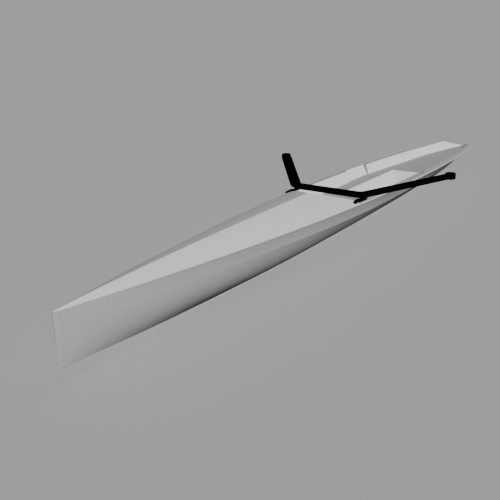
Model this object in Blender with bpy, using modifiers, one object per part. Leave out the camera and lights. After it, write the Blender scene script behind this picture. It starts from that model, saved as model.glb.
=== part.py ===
"""Coastal rowing boat for one sculler: decked bow, open stern and a wing rigger.

Metres. +X points to the bow, +Y to port, +Z up. The origin is amidships on
the centreline, at the design waterline. "aft" is the distance behind the stem.
"""
import bpy
import bmesh
import numpy as np
from math import cos, pi, radians, sin
from mathutils import Matrix, Vector

# Driving dimensions of the hull
LENGTH = 6.0
GAP = 0.0003
SKIN = 0.005
BED = 0.0015
FLOOR_HEIGHT = 0.137
FLOOR_THICKNESS = 0.006
SIDE_DECK_WIDTH = 0.065
STRIP_WIDTH = 0.007
STRIP_DEPTH = 0.010
STRIP_RISE = 0.003
STRIP_PROUD = 0.002
FLARE_START = 0.7
DECK_CAMBER = 0.8
BILGE_STEPS = 8
TOPSIDE_STEPS = 3
DECK_STEPS = 5

# Places along the boat, as distances aft of the stem
STEM_END = 0.04
FORE_END = 2.40
DECK_APEX = 2.43
TANK_START = 2.66
RECESS_START = 3.64
RECESS_END = 4.02
WELL_START = 3.25
WELL_END = 4.32
TANK_END = 5.86

# Side recess, in the wall between two seams
RECESS_TOP = 0.027
RECESS_FOOT = 0.012

# Footwell
WELL_HALF = 0.135
WELL_DEPTH = 0.130
WELL_SIDE_SLOPE = radians(12.0)
WELL_RAMP_SLOPE = radians(38.0)
WELL_FRONT = WELL_START - SKIN - GAP
WELL_BACK = WELL_END + SKIN / sin(WELL_RAMP_SLOPE) + 2 * GAP

# Wing rigger
BAR_AFT = 2.748
BAR_HEIGHT = 0.279
BAR_HALF_SPAN = 0.303
BAR_CHORD = 0.094
BAR_THICKNESS = 0.045
ARM_TIP_AFT = 3.348
ARM_TIP_HALF_SPAN = 0.792
ARM_TIP_HEIGHT = 0.375
BOSS_RADIUS = 0.042
BOSS_HEIGHT = 0.050
PAD_AFT = 2.632
PAD_HALF_SPAN = 0.311
PAD_LENGTH = 0.044
PAD_WIDTH = 0.022
PAD_THICKNESS = 0.004

# Hull sections. Columns: distance aft of the stem, half beam at the sheer,
# sheer height, ridge height of the foredeck, half beam and height of the
# knuckle, angle of the side below it from upright, deadrise, keel height.
COLUMNS = ("aft", "beam", "sheer", "ridge", "knuckle_y", "knuckle_z", "side", "rise", "keel")
SECTIONS = (
    (0.00, 0.0060, 0.248, 0.248, 0.0055, 0.150, 2.0, 76.0, -0.075),
    (0.04, 0.0135, 0.248, 0.252, 0.0120, 0.150, 2.0, 75.0, -0.078),
    (0.25, 0.0510, 0.247, 0.266, 0.0470, 0.147, 3.0, 66.0, -0.089),
    (0.60, 0.1120, 0.245, 0.283, 0.1000, 0.143, 6.0, 52.0, -0.108),
    (1.10, 0.1860, 0.241, 0.300, 0.1660, 0.139, 11.0, 40.0, -0.125),
    (1.60, 0.2500, 0.238, 0.312, 0.2260, 0.138, 19.0, 29.0, -0.134),
    (2.00, 0.2910, 0.236, 0.319, 0.2630, 0.134, 27.0, 21.0, -0.125),
    (2.43, 0.3260, 0.234, 0.325, 0.2930, 0.130, 34.0, 16.0, -0.105),
    (3.00, 0.3560, 0.230, 0.332, 0.3140, 0.127, 40.0, 13.0, -0.080),
    (3.60, 0.3630, 0.226, 0.335, 0.3060, 0.124, 45.0, 11.0, -0.063),
    (4.20, 0.3540, 0.221, 0.335, 0.2740, 0.122, 48.0, 10.0, -0.052),
    (4.80, 0.3190, 0.216, 0.335, 0.2240, 0.118, 51.0, 9.0, -0.044),
    (5.30, 0.2680, 0.213, 0.335, 0.1600, 0.117, 55.0, 8.0, -0.029),
    (5.60, 0.2280, 0.212, 0.335, 0.1150, 0.119, 58.0, 8.0, 0.000),
    (5.75, 0.2030, 0.211, 0.335, 0.0850, 0.121, 60.0, 8.0, 0.030),
    (5.86, 0.1180, 0.178, 0.335, 0.0500, 0.124, 62.0, 8.0, 0.058),
    (5.95, 0.0450, 0.152, 0.335, 0.0200, 0.127, 64.0, 8.0, 0.085),
    (6.00, 0.0060, 0.139, 0.335, 0.0030, 0.129, 65.0, 8.0, 0.105),
)

# Cockpit. Columns: distance aft, half width of the floor, how much narrower
# the side deck is than its full width, rise of the side deck's inner edge.
COCKPIT_COLUMNS = ("aft", "floor", "narrowing", "tilt")
COCKPIT = (
    (2.66, 0.235, 0.000, 0.010),
    (3.00, 0.246, 0.000, 0.009),
    (3.36, 0.252, 0.000, 0.008),
    (3.64, 0.260, 0.000, 0.007),
    (4.02, 0.260, 0.000, 0.005),
    (4.30, 0.240, 0.000, 0.004),
    (4.65, 0.205, 0.000, 0.003),
    (5.20, 0.155, 0.000, 0.002),
    (5.60, 0.090, 0.003, 0.001),
    (5.75, 0.058, 0.012, 0.001),
    (5.86, 0.030, 0.035, 0.000),
)

# Side tanks. Columns: name, distances aft of both ends, station spacing,
# one where the wall is recessed and nought elsewhere.
TANK_LENGTHS = (
    ("fore", TANK_START, RECESS_START - GAP, 0.25, 0.0),
    ("recess", RECESS_START, RECESS_END - GAP, 0.20, 1.0),
    ("aft", RECESS_END, TANK_END, 0.115, 0.0),
)

# Aft edge of the foredeck. Columns: distance from the centreline, distance aft.
DECK_EDGE = ((0.0, 2.43), (0.13, 2.545), (0.25, 2.645), (0.272, 2.66), (0.36, 2.66))

# Wing feet. Columns: distance aft, inner and outer edge, clearance over the
# deck below, height of the top.
FOOT_SHAPE = (
    (2.605, 0.303, 0.324, 0.0055, 0.2550),
    (2.655, 0.293, 0.326, 0.0055, 0.2600),
    (2.680, 0.289, 0.327, 0.0006, 0.2610),
    (2.700, 0.286, 0.328, 0.0006, 0.2620),
    (2.722, 0.285, 0.329, 0.0006, 0.2547),
    (2.800, 0.285, 0.331, 0.0006, 0.2547),
)

COLOURS = {
    "hull_gelcoat": ((0.72, 0.72, 0.72), 0.30, 0.0),
    "deck_gelcoat": ((0.78, 0.78, 0.78), 0.38, 0.0),
    "floor_gelcoat": ((0.66, 0.66, 0.66), 0.55, 0.0),
    "strip_rubber": ((0.55, 0.55, 0.55), 0.60, 0.0),
    "wing_carbon": ((0.012, 0.012, 0.013), 0.32, 0.0),
    "fitting_black": ((0.010, 0.010, 0.010), 0.50, 0.2),
}


def clear_scene():
    """Remove whatever the file opened with."""
    for item in list(bpy.data.objects):
        bpy.data.objects.remove(item, do_unlink=True)


def new_collection(name):
    """Add a collection to the scene."""
    group = bpy.data.collections.new(name)
    bpy.context.scene.collection.children.link(group)
    return group


def material(name):
    """A Principled material of its own for one sub-part."""
    colour, roughness, metallic = COLOURS[name]
    made = bpy.data.materials.new(name)
    made.use_nodes = True
    shader = made.node_tree.nodes["Principled BSDF"]
    shader.inputs["Base Color"].default_value = (*colour, 1.0)
    shader.inputs["Roughness"].default_value = roughness
    shader.inputs["Metallic"].default_value = metallic
    return made


def station_values(table, names, aft):
    """Fair each column of a table through its rows, as a spline batten would."""
    rows = np.array(table)
    where = rows[:, 0]
    steps = np.diff(where)
    values = {}
    for index, name in enumerate(names[1:], start=1):
        column = rows[:, index]
        slopes = np.diff(column) / steps
        tangents = np.empty(len(where))
        tangents[0] = slopes[0]
        tangents[-1] = slopes[-1]
        same_way = slopes[:-1] * slopes[1:] > 0.0
        mean = 2.0 * slopes[:-1] * slopes[1:] / np.where(same_way, slopes[:-1] + slopes[1:], 1.0)
        tangents[1:-1] = np.where(same_way, mean, 0.0)
        row = int(np.clip(np.searchsorted(where, aft) - 1, 0, len(steps) - 1))
        t = (aft - where[row]) / steps[row]
        values[name] = float(
            column[row] * (1 + 2 * t) * (1 - t) ** 2
            + column[row + 1] * t * t * (3 - 2 * t)
            + steps[row] * tangents[row] * t * (1 - t) ** 2
            - steps[row] * tangents[row + 1] * t * t * (1 - t)
        )
    return values


def section(aft):
    """The hull's measures at one station."""
    return station_values(SECTIONS, COLUMNS, aft)


def cockpit(aft):
    """The cockpit's measures at one station."""
    return station_values(COCKPIT, COCKPIT_COLUMNS, aft)


def place(aft, y, z):
    """A point of the boat, from its distance aft of the stem."""
    return Vector((LENGTH / 2 - aft, y, z))


def topside_y(hull, z):
    """Half beam of the flared topside at a height above the knuckle."""
    share = (z - hull["knuckle_z"]) / (hull["sheer"] - hull["knuckle_z"])
    bow_out = FLARE_START * share + (1 - FLARE_START) * share * share
    return hull["knuckle_y"] + (hull["beam"] - hull["knuckle_y"]) * bow_out


def topside(hull, top):
    """Topside points from a height down to just above the knuckle."""
    foot = hull["knuckle_z"]
    heights = [top + (foot - top) * i / TOPSIDE_STEPS for i in range(TOPSIDE_STEPS)]
    return [(topside_y(hull, z), z) for z in heights]


def bilge(hull):
    """Rounded bottom from the knuckle to the keel, as one Bezier curve."""
    depth = hull["knuckle_z"] - hull["keel"]
    side = radians(hull["side"])
    rise = radians(hull["rise"])
    start = Vector((hull["knuckle_y"], hull["knuckle_z"]))
    end = Vector((0.0, hull["keel"]))
    leave = start - 0.55 * depth * Vector((sin(side), cos(side)))
    arrive = end + 0.6 * hull["knuckle_y"] * Vector((cos(rise), sin(rise)))
    points = []
    for i in range(BILGE_STEPS + 1):
        t = i / BILGE_STEPS
        point = (1 - t) ** 3 * start + 3 * (1 - t) ** 2 * t * leave
        point += 3 * (1 - t) * t * t * arrive + t ** 3 * end
        points.append((point.x, point.y))
    return points


def mirrored(half):
    """A full outline from its port half, which ends on the centreline."""
    return half + [(-y, z) for y, z in reversed(half[:-1])]


def stations(start, end, step):
    """Evenly spaced stations between two places."""
    count = max(1, round((end - start) / step))
    return [start + (end - start) * i / count for i in range(count + 1)]


def deck_height(hull, share):
    """Height of the cambered foredeck at a share of the half beam."""
    fall = DECK_CAMBER * share + (1 - DECK_CAMBER) * share * share
    return hull["ridge"] - (hull["ridge"] - hull["sheer"]) * fall


def edge_of_deck(y):
    """How far aft the foredeck reaches at a distance from the centreline."""
    across, aft = zip(*DECK_EDGE)
    return float(np.interp(abs(y), across, aft))


def finish(name, mesh, group, finish_name, smooth=True):
    """Make the object of one sub-part, with its own material."""
    made = bpy.data.objects.new(name, mesh)
    group.objects.link(made)
    mesh.materials.append(material(finish_name))
    if smooth:
        mesh.shade_smooth()
        mesh.set_sharp_from_angle(angle=radians(30))
    return made


def mesh_from(name, work):
    """Write a bmesh with outward faces to a new mesh."""
    bmesh.ops.recalc_face_normals(work, faces=work.faces)
    mesh = bpy.data.meshes.new(name)
    work.to_mesh(mesh)
    work.free()
    return mesh


def loft(name, rings, group, finish_name):
    """A closed solid through closed rings of equal counts, with flat ends."""
    work = bmesh.new()
    loops = [[work.verts.new(point) for point in ring] for ring in rings]
    count = len(loops[0])
    for near, far in zip(loops, loops[1:]):
        for i in range(count):
            j = (i + 1) % count
            work.faces.new((near[i], near[j], far[j], far[i]))
    work.faces.new(loops[0])
    work.faces.new(loops[-1])
    return finish(name, mesh_from(name, work), group, finish_name)


def between(name, upper, lower, group, finish_name):
    """A closed solid between an upper and a lower grid of points."""
    work = bmesh.new()
    tops = [[work.verts.new(point) for point in row] for row in upper]
    bases = [[work.verts.new(point) for point in row] for row in lower]
    rows, columns = len(tops), len(tops[0])
    for grid in (tops, bases):
        for i in range(rows - 1):
            for j in range(columns - 1):
                work.faces.new((grid[i][j], grid[i + 1][j], grid[i + 1][j + 1], grid[i][j + 1]))
    rim = [(i, 0) for i in range(rows)] + [(rows - 1, j) for j in range(1, columns)]
    rim += [(i, columns - 1) for i in range(rows - 2, -1, -1)]
    rim += [(0, j) for j in range(columns - 2, 0, -1)]
    for (i, j), (k, m) in zip(rim, rim[1:] + rim[:1]):
        work.faces.new((tops[i][j], tops[k][m], bases[k][m], bases[i][j]))
    return finish(name, mesh_from(name, work), group, finish_name)


def under_deck(hull, half_width):
    """Underside of the foredeck from the strip to the ridge, port half."""
    points = []
    for i in range(DECK_STEPS + 1):
        share = (1 - i / DECK_STEPS) * half_width / hull["beam"]
        points.append((share * hull["beam"], deck_height(hull, share) - SKIN - GAP))
    return points


def strip_notch(hull):
    """Step in the top of the topside that the sheer strip lies in."""
    height = hull["sheer"] - STRIP_DEPTH - GAP
    return height, hull["beam"] - STRIP_WIDTH - GAP


def fore_ring(aft):
    """Section of the decked forebody."""
    hull = section(aft)
    notch_height, inner = strip_notch(hull)
    outside = topside(hull, notch_height) + bilge(hull)
    inside = [(inner, notch_height)] + under_deck(hull, inner)
    lower = mirrored(outside)
    upper = mirrored(inside)
    outline = lower + list(reversed(upper))
    return [place(aft, y, z) for y, z in outline]


def build_forebody(group):
    """Closed forebody under the foredeck."""
    loft("hull_forebody", [fore_ring(aft) for aft in fore_places()], group, "hull_gelcoat")


def stem_ring(aft, share):
    """Section of the stem, thinned towards its leading edge."""
    hull = section(STEM_END)
    half = [(0.0, hull["ridge"])] + [(hull["beam"], hull["sheer"])]
    half += topside(hull, hull["sheer"])[1:] + bilge(hull)
    outline = half + [(-y, z) for y, z in reversed(half[1:-1])]
    return [place(aft, y * share, z) for y, z in outline]


def build_stem(group):
    """Plumb stem moulding with a rounded leading edge."""
    shape = ((0.0, 0.25), (0.006, 0.62), (0.016, 0.84), (STEM_END, 1.0))
    loft("stem", [stem_ring(aft, share) for aft, share in shape], group, "hull_gelcoat")


def fore_places():
    """Stations of the forebody and of the deck over it."""
    return [STEM_END + GAP] + stations(0.16, FORE_END, 0.22)


def build_foredeck(group):
    """The two cambered halves of the foredeck, which meet along the ridge."""
    shares = [i / DECK_STEPS for i in range(DECK_STEPS + 1)]
    for name, side in (("foredeck_port", 1.0), ("foredeck_starboard", -1.0)):
        rows = [[aft] * len(shares) for aft in fore_places()]
        edge = [edge_of_deck(share * section(TANK_START)["beam"]) - GAP for share in shares]
        rows.append([(FORE_END + aft) / 2 for aft in edge])
        rows.append(edge)
        upper, lower = [], []
        for row in rows:
            top_row, base_row = [], []
            for share, aft in zip(shares, row):
                hull = section(aft)
                half = hull["beam"] - STRIP_WIDTH - GAP
                y = GAP / 2 + share * (half - GAP / 2)
                z = deck_height(hull, y / hull["beam"])
                top_row.append(place(aft, side * y, z))
                base_row.append(place(aft, side * y, z - SKIN))
            upper.append(top_row)
            lower.append(base_row)
        between(name, upper, lower, group, "deck_gelcoat")


def build_bulkheads(group):
    """Angled bulkheads that close the forebody off from the cockpit."""
    runs = (0.0, 0.5, 1.0)
    front = FORE_END + GAP
    base = FLOOR_HEIGHT - FLOOR_THICKNESS
    for name, side in (("bulkhead_port", 1.0), ("bulkhead_starboard", -1.0)):
        rings = []
        for share in (0.0, 0.25, 0.5, 0.8):
            y = GAP / 2 + share * 0.34
            aft = min(edge_of_deck(y), TANK_START - GAP) - GAP
            hulls = [section(front + run * (aft - front)) for run in runs]
            places = [front + run * (aft - front) for run in runs]
            tops = [deck_height(hull, y / hull["beam"]) - SKIN - BED for hull in hulls]
            ring = [place(where, side * y, top) for where, top in zip(places, tops)]
            ring += [place(where, side * y, base) for where in reversed(places)]
            rings.append(ring)
        outer_ring = []
        places = [front + run * (TANK_START - 2 * GAP - front) for run in runs]
        for where in places:
            hull = section(where)
            inner = strip_notch(hull)[1] - BED
            top = deck_height(hull, inner / hull["beam"]) - SKIN - BED
            outer_ring.append(place(where, side * inner, top))
        for where in reversed(places):
            hull = section(where)
            outer_ring.append(place(where, side * topside_y(hull, base), base))
        rings.append(outer_ring)
        loft(name, rings, group, "deck_gelcoat")


def lower_ring(aft):
    """Hull section below the cockpit floor."""
    hull = section(aft)
    top = FLOOR_HEIGHT - FLOOR_THICKNESS - GAP
    outline = mirrored(topside(hull, top) + bilge(hull))
    return [place(aft, y, z) for y, z in outline]


def build_lower_hull(group):
    """Closed hull under the cockpit floor, ahead of and behind the footwell."""
    parts = (
        ("hull_under_seat", FORE_END + 2 * GAP, WELL_FRONT - GAP, 0.21),
        ("hull_afterbody", WELL_BACK + GAP, TANK_END, 0.22),
    )
    for name, start, end, step in parts:
        rings = [lower_ring(aft) for aft in stations(start, end, step)]
        loft(name, rings, group, "hull_gelcoat")


def well_half(height):
    """Half width of the footwell at a height, between its sloping sides."""
    return WELL_HALF - (FLOOR_HEIGHT - height) * np.tan(WELL_SIDE_SLOPE)


def well_outside(height):
    """Half width of the room that the footwell and its skin need at a height."""
    return well_half(height) + SKIN / cos(WELL_SIDE_SLOPE) + 2 * GAP


def build_hull_beside_well(group):
    """Hull to each side of the footwell, and the keel block below it."""
    top = FLOOR_HEIGHT - FLOOR_THICKNESS - GAP
    base = FLOOR_HEIGHT - WELL_DEPTH - SKIN - GAP
    inner = well_outside(base)
    places = stations(WELL_FRONT, WELL_BACK, 0.21)
    for name, side in (("hull_beside_well_port", 1.0), ("hull_beside_well_starboard", -1.0)):
        rings = []
        for aft in places:
            hull = section(aft)
            outline = topside(hull, top) + outer_bilge(hull, inner)
            outline += [(inner, base), (well_outside(top), top)]
            rings.append([place(aft, side * y, z) for y, z in outline])
        loft(name, rings, group, "hull_gelcoat")
    rings = []
    for aft in places:
        hull = section(aft)
        half = [(inner - GAP, base)] + inner_bilge(hull, inner - GAP)
        rings.append([place(aft, y, z) for y, z in mirrored(half)])
    loft("hull_keel_under_well", rings, group, "hull_gelcoat")


def bilge_height(hull, y):
    """Height of the bottom at a distance from the centreline."""
    points = sorted(bilge(hull))
    return float(np.interp(y, [p[0] for p in points], [p[1] for p in points]))


def outer_bilge(hull, inner):
    """Bottom points from the knuckle in to a vertical plane."""
    outer = hull["knuckle_y"]
    across = [outer + (inner - outer) * i / BILGE_STEPS for i in range(BILGE_STEPS + 1)]
    return [(y, bilge_height(hull, y)) for y in across]


def inner_bilge(hull, outer):
    """Bottom points from a vertical plane in to the keel."""
    across = [outer * (1 - i / 3) for i in range(4)]
    return [(y, bilge_height(hull, y)) for y in across]


def tank_ring(aft, side, recess):
    """Section of a side tank, whose inner face is the cockpit's wall."""
    hull = section(aft)
    room = cockpit(aft)
    notch_height, strip_inner = strip_notch(hull)
    base = FLOOR_HEIGHT - FLOOR_THICKNESS
    wall_top = hull["beam"] - SIDE_DECK_WIDTH + room["narrowing"] + recess * RECESS_TOP
    wall_foot = room["floor"] + recess * RECESS_FOOT
    under = SKIN + 2 * GAP
    outline = topside_between(hull, notch_height, base)
    outline += [(wall_foot, base), (wall_foot, FLOOR_HEIGHT)]
    outline += [(wall_top, hull["sheer"] + room["tilt"] - under)]
    outline += [(strip_inner, hull["sheer"] - under), (strip_inner, notch_height)]
    return [place(aft, side * y, z) for y, z in outline]


def topside_between(hull, top, base):
    """Topside points from one height down to another."""
    heights = [top + (base - top) * i / TOPSIDE_STEPS for i in range(TOPSIDE_STEPS + 1)]
    return [(topside_y(hull, z), z) for z in heights]


def build_tanks(group):
    """Side tanks in three lengths, with the recess between the two seams."""
    for label, start, end, step, recess in TANK_LENGTHS:
        for name, side in (("port", 1.0), ("starboard", -1.0)):
            rings = [tank_ring(aft, side, recess) for aft in stations(start, end, step)]
            loft(f"side_tank_{label}_{name}", rings, group, "deck_gelcoat")


def deck_ring(aft, side, recess):
    """Section of the side deck, which tilts slightly outboard."""
    hull = section(aft)
    room = cockpit(aft)
    inner = hull["beam"] - SIDE_DECK_WIDTH + room["narrowing"] + recess * RECESS_TOP
    outer = hull["beam"] - STRIP_WIDTH - GAP
    top_inner = hull["sheer"] + room["tilt"]
    outline = [(inner, top_inner), (outer, hull["sheer"])]
    outline += [(outer, hull["sheer"] - SKIN), (inner, top_inner - SKIN)]
    return [place(aft, side * y, z) for y, z in outline]


def build_side_decks(group):
    """Side decks from the foredeck to the stern, narrower over the recess."""
    for name, side in (("side_deck_port", 1.0), ("side_deck_starboard", -1.0)):
        rings = []
        for _, start, end, step, recess in TANK_LENGTHS:
            rings += [deck_ring(aft, side, recess) for aft in stations(start, end, step)]
        loft(name, rings, group, "deck_gelcoat")


def build_sheer_strips(group):
    """Rubbing strips that cover the joint of hull and deck."""
    places = fore_places() + [(FORE_END + TANK_START - GAP) / 2]
    places += [aft for aft, _ in tank_stations()]
    for name, side in (("sheer_strip_port", 1.0), ("sheer_strip_starboard", -1.0)):
        rings = []
        for aft in places:
            hull = section(aft)
            low = hull["sheer"] - STRIP_DEPTH
            high = hull["sheer"] + STRIP_RISE
            inner = hull["beam"] - STRIP_WIDTH
            outer_low = topside_y(hull, low) + STRIP_PROUD
            outer_high = hull["beam"] + STRIP_PROUD
            outline = [(inner, high), (outer_high - STRIP_RISE, high)]
            outline += [(outer_high, hull["sheer"]), (outer_low, low), (inner, low)]
            rings.append([place(aft, side * y, z) for y, z in outline])
        loft(name, rings, group, "strip_rubber")


def flat_panel(name, outline, top, thickness, group, finish_name):
    """A flat panel cut to an outline of (aft, y) points."""
    curve = bpy.data.curves.new(name, "CURVE")
    curve.dimensions = "2D"
    curve.fill_mode = "BOTH"
    curve.extrude = thickness / 2
    spline = curve.splines.new("POLY")
    spline.points.add(len(outline) - 1)
    for point, (aft, y) in zip(spline.points, outline):
        point.co = (LENGTH / 2 - aft, y, 0.0, 1.0)
    spline.use_cyclic_u = True
    curve.materials.append(material(finish_name))
    panel = bpy.data.objects.new(name, curve)
    panel.location.z = top - thickness / 2
    group.objects.link(panel)


def tank_stations():
    """Each station of the side tanks, with the half width between their feet."""
    feet = []
    for _, start, end, step, recess in TANK_LENGTHS:
        for aft in stations(start, end, step):
            feet.append((aft, cockpit(aft)["floor"] + recess * RECESS_FOOT))
    return feet


def floor_edge(start, end, side):
    """Floor outline along a side wall, between two places."""
    places, feet = zip(*tank_stations())
    within = [start] + [aft for aft in places if start < aft < end] + [end]
    return [(aft, side * (float(np.interp(aft, places, feet)) - GAP)) for aft in within]


def build_floor(group):
    """Cockpit floor in four panels round the footwell."""
    measures = (FLOOR_HEIGHT, FLOOR_THICKNESS, group, "floor_gelcoat")
    start = TANK_START + 2 * GAP
    front = [(edge_of_deck(y) + GAP, y) for y in (0.0, 0.06, 0.13, 0.19, 0.232)]
    outline = front + floor_edge(start, WELL_FRONT - GAP, 1.0)
    outline += reversed(floor_edge(start, WELL_FRONT - GAP, -1.0))
    outline += [(aft, -y) for aft, y in reversed(front[1:])]
    flat_panel("floor_seat", outline, *measures)
    for name, side in (("floor_beside_well_port", 1.0), ("floor_beside_well_starboard", -1.0)):
        inner = side * well_outside(FLOOR_HEIGHT)
        outline = floor_edge(WELL_FRONT, WELL_BACK, side)
        outline += [(WELL_BACK, inner), (WELL_FRONT, inner)]
        flat_panel(name, outline, *measures)
    outline = floor_edge(WELL_BACK + GAP, TANK_END, 1.0)
    outline += reversed(floor_edge(WELL_BACK + GAP, TANK_END, -1.0))
    flat_panel("floor_stern", outline, *measures)


def panel_shell(name, corners, outward, group, finish_name):
    """A flat four-cornered panel, given its thickness by Solidify."""
    work = bmesh.new()
    face = work.faces.new([work.verts.new(corner) for corner in corners])
    face.normal_update()
    if face.normal.dot(Vector(outward)) < 0:
        face.normal_flip()
    mesh = bpy.data.meshes.new(name)
    work.to_mesh(mesh)
    work.free()
    panel = finish(name, mesh, group, finish_name, smooth=False)
    shell = panel.modifiers.new("thickness", "SOLIDIFY")
    shell.thickness = SKIN
    shell.offset = 1.0
    return panel


def build_well(group):
    """Footwell of five flat panels, with a sloping heel ramp aft."""
    base = FLOOR_HEIGHT - WELL_DEPTH
    ramp_run = WELL_DEPTH / np.tan(WELL_RAMP_SLOPE)
    base_half = well_half(base)
    ramp_foot = WELL_END - ramp_run
    gap = 2 * GAP
    top = FLOOR_HEIGHT - GAP
    front = WELL_START + gap
    panel_shell(
        "well_base",
        [place(front, -base_half, base), place(front, base_half, base),
         place(ramp_foot, base_half, base), place(ramp_foot, -base_half, base)],
        (0, 0, -1), group, "floor_gelcoat",
    )
    for name, side in (("well_side_port", 1.0), ("well_side_starboard", -1.0)):
        lean = Vector((0, side * cos(WELL_SIDE_SLOPE), -sin(WELL_SIDE_SLOPE)))
        low = base + gap
        corners = [
            place(front, side * WELL_HALF, top),
            place(front, side * well_half(low), low),
            place(ramp_foot - gap, side * well_half(low), low),
            place(WELL_END - gap, side * WELL_HALF, top),
        ]
        panel_shell(name, corners, lean, group, "floor_gelcoat")
    rise = WELL_DEPTH - 2 * gap
    foot_half = well_half(base + gap) - gap
    corners = [
        place(ramp_foot, -foot_half, base + gap),
        place(ramp_foot, foot_half, base + gap),
        place(ramp_foot + rise / np.tan(WELL_RAMP_SLOPE), WELL_HALF - 2 * gap, top),
        place(ramp_foot + rise / np.tan(WELL_RAMP_SLOPE), -WELL_HALF + 2 * gap, top),
    ]
    panel_shell("well_heel_ramp", corners, (-1, 0, -1), group, "floor_gelcoat")
    corners = [
        place(WELL_START, -WELL_HALF, top),
        place(WELL_START, WELL_HALF, top),
        place(WELL_START, base_half, base),
        place(WELL_START, -base_half, base),
    ]
    panel_shell("well_front", corners, (1, 0, 0), group, "floor_gelcoat")


def tip_ring(aft, share):
    """Section of the stern tip, whose top falls to the open cockpit floor."""
    hull = section(aft)
    strip_top = hull["sheer"] + STRIP_RISE * share
    wall = hull["beam"] * 0.74
    foot = hull["beam"] * 0.26
    half = [(foot, FLOOR_HEIGHT)] + [(wall, strip_top), (hull["beam"], hull["sheer"])]
    half += topside(hull, hull["sheer"])[1:] + bilge(hull)
    outline = half + [(-y, z) for y, z in reversed(half[:-1])]
    return [place(aft, y, z) for y, z in outline]


def build_stern_tip(group):
    """Pointed stern, open to the cockpit between its two low sides."""
    shape = ((TANK_END + GAP, 0.4), (5.92, 0.3), (5.97, 0.1), (LENGTH, 0.0))
    loft("stern_tip", [tip_ring(aft, share) for aft, share in shape], group, "deck_gelcoat")


def oval_bar(name, start, end, chord, thickness, group, finish_name):
    """A bar of oval section between two points, its chord kept level."""
    along = (end - start).normalized()
    level = along.cross(Vector((0, 0, 1))).normalized()
    upward = level.cross(along)
    work = bmesh.new()
    bmesh.ops.create_cone(
        work, cap_ends=True, segments=20, radius1=0.5, radius2=0.5,
        depth=(end - start).length,
    )
    turn = Matrix((level * chord, upward * thickness, along)).transposed().to_4x4()
    bmesh.ops.transform(work, matrix=Matrix.Translation((start + end) / 2) @ turn, verts=work.verts)
    return finish(name, mesh_from(name, work), group, finish_name)


def elbow_section(centre, along, chord, thickness):
    """Oval ring at an elbow, square to a direction."""
    level = along.cross(Vector((0, 0, 1))).normalized()
    upward = level.cross(along)
    count = 20
    ring = []
    for i in range(count):
        turn = 2 * pi * i / count
        ring.append(centre + level * cos(turn) * chord / 2 + upward * sin(turn) * thickness / 2)
    return ring


def build_wing(group):
    """Wing rigger: a crossbar, two elbows, two swept arms and their bosses."""
    bar_end = BAR_HALF_SPAN - 0.035
    oval_bar(
        "wing_crossbar", place(BAR_AFT, -bar_end, BAR_HEIGHT), place(BAR_AFT, bar_end, BAR_HEIGHT),
        BAR_CHORD, BAR_THICKNESS, group, "wing_carbon",
    )
    for name, side in (("port", 1.0), ("starboard", -1.0)):
        corner = place(BAR_AFT, side * BAR_HALF_SPAN, BAR_HEIGHT)
        tip = place(ARM_TIP_AFT, side * ARM_TIP_HALF_SPAN, ARM_TIP_HEIGHT)
        along = (tip - corner).normalized()
        across = Vector((0, side, 0))
        root = corner + along * 0.050
        build_elbow(name, side, corner, across, along, group)
        slope = BAR_THICKNESS / 2 * abs(along.z)
        boss_edge = tip - along * (BOSS_RADIUS + slope - GAP)
        oval_bar(
            f"wing_arm_{name}", root + along * GAP, boss_edge,
            BAR_CHORD, BAR_THICKNESS, group, "wing_carbon",
        )
        build_boss(name, tip, along, group)


def build_elbow(name, side, corner, across, along, group):
    """Moulded corner between the crossbar and an arm."""
    turns = ((-0.035 + GAP, 0.0), (-0.015, 0.15), (0.0, 0.5), (0.022, 0.85), (0.050, 1.0))
    rings = []
    for distance, share in turns:
        way = (across * (1 - share) + along * share).normalized()
        centre = corner + (across if distance < 0 else along) * distance
        swell = 1.0 + 0.10 * sin(pi * (distance + 0.035) / 0.085)
        ring = elbow_section(centre, way, BAR_CHORD * swell, BAR_THICKNESS * swell)
        rings.append(ring)
    loft(f"wing_elbow_{name}", rings, group, "wing_carbon")


def build_boss(name, tip, along, group):
    """Upright boss at an arm's tip, with a flat top for the oarlock."""
    work = bmesh.new()
    bmesh.ops.create_cone(
        work, cap_ends=True, segments=24, radius1=BOSS_RADIUS, radius2=BOSS_RADIUS,
        depth=BOSS_HEIGHT,
    )
    mesh = mesh_from(f"wing_boss_{name}", work)
    boss = finish(f"wing_boss_{name}", mesh, group, "fitting_black")
    boss.location = tip
    edge = boss.modifiers.new("rounded", "BEVEL")
    edge.width = 0.006
    edge.segments = 2
    edge.limit_method = "ANGLE"


def side_deck_height(aft, y):
    """Height of the side deck's face at a distance from the centreline."""
    hull = section(aft)
    room = cockpit(aft)
    inner = hull["beam"] - SIDE_DECK_WIDTH + room["narrowing"]
    outer = hull["beam"] - STRIP_WIDTH - GAP
    return hull["sheer"] + room["tilt"] * (outer - y) / (outer - inner)


def height_under_foot(aft, y):
    """Height of whichever deck lies under a foot."""
    if aft < TANK_START:
        hull = section(aft)
        return deck_height(hull, y / hull["beam"])
    return side_deck_height(aft, y)


def build_feet(group):
    """Feet that carry the wing, each on a pad on the foredeck's corner."""
    hull = section(PAD_AFT)
    share = PAD_HALF_SPAN / hull["beam"]
    deck = deck_height(hull, share)
    slope = (deck_height(hull, share - 0.05) - deck_height(hull, share + 0.05)) / (0.1 * hull["beam"])
    for name, side in (("port", 1.0), ("starboard", -1.0)):
        lean = np.arctan(slope) * -side
        centre = place(PAD_AFT, side * PAD_HALF_SPAN, deck)
        upward = Vector((0, -sin(lean), cos(lean)))
        build_pad(name, centre + upward * (PAD_THICKNESS / 2 + 0.0005), lean, group)
        build_foot(name, side, group)


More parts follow.
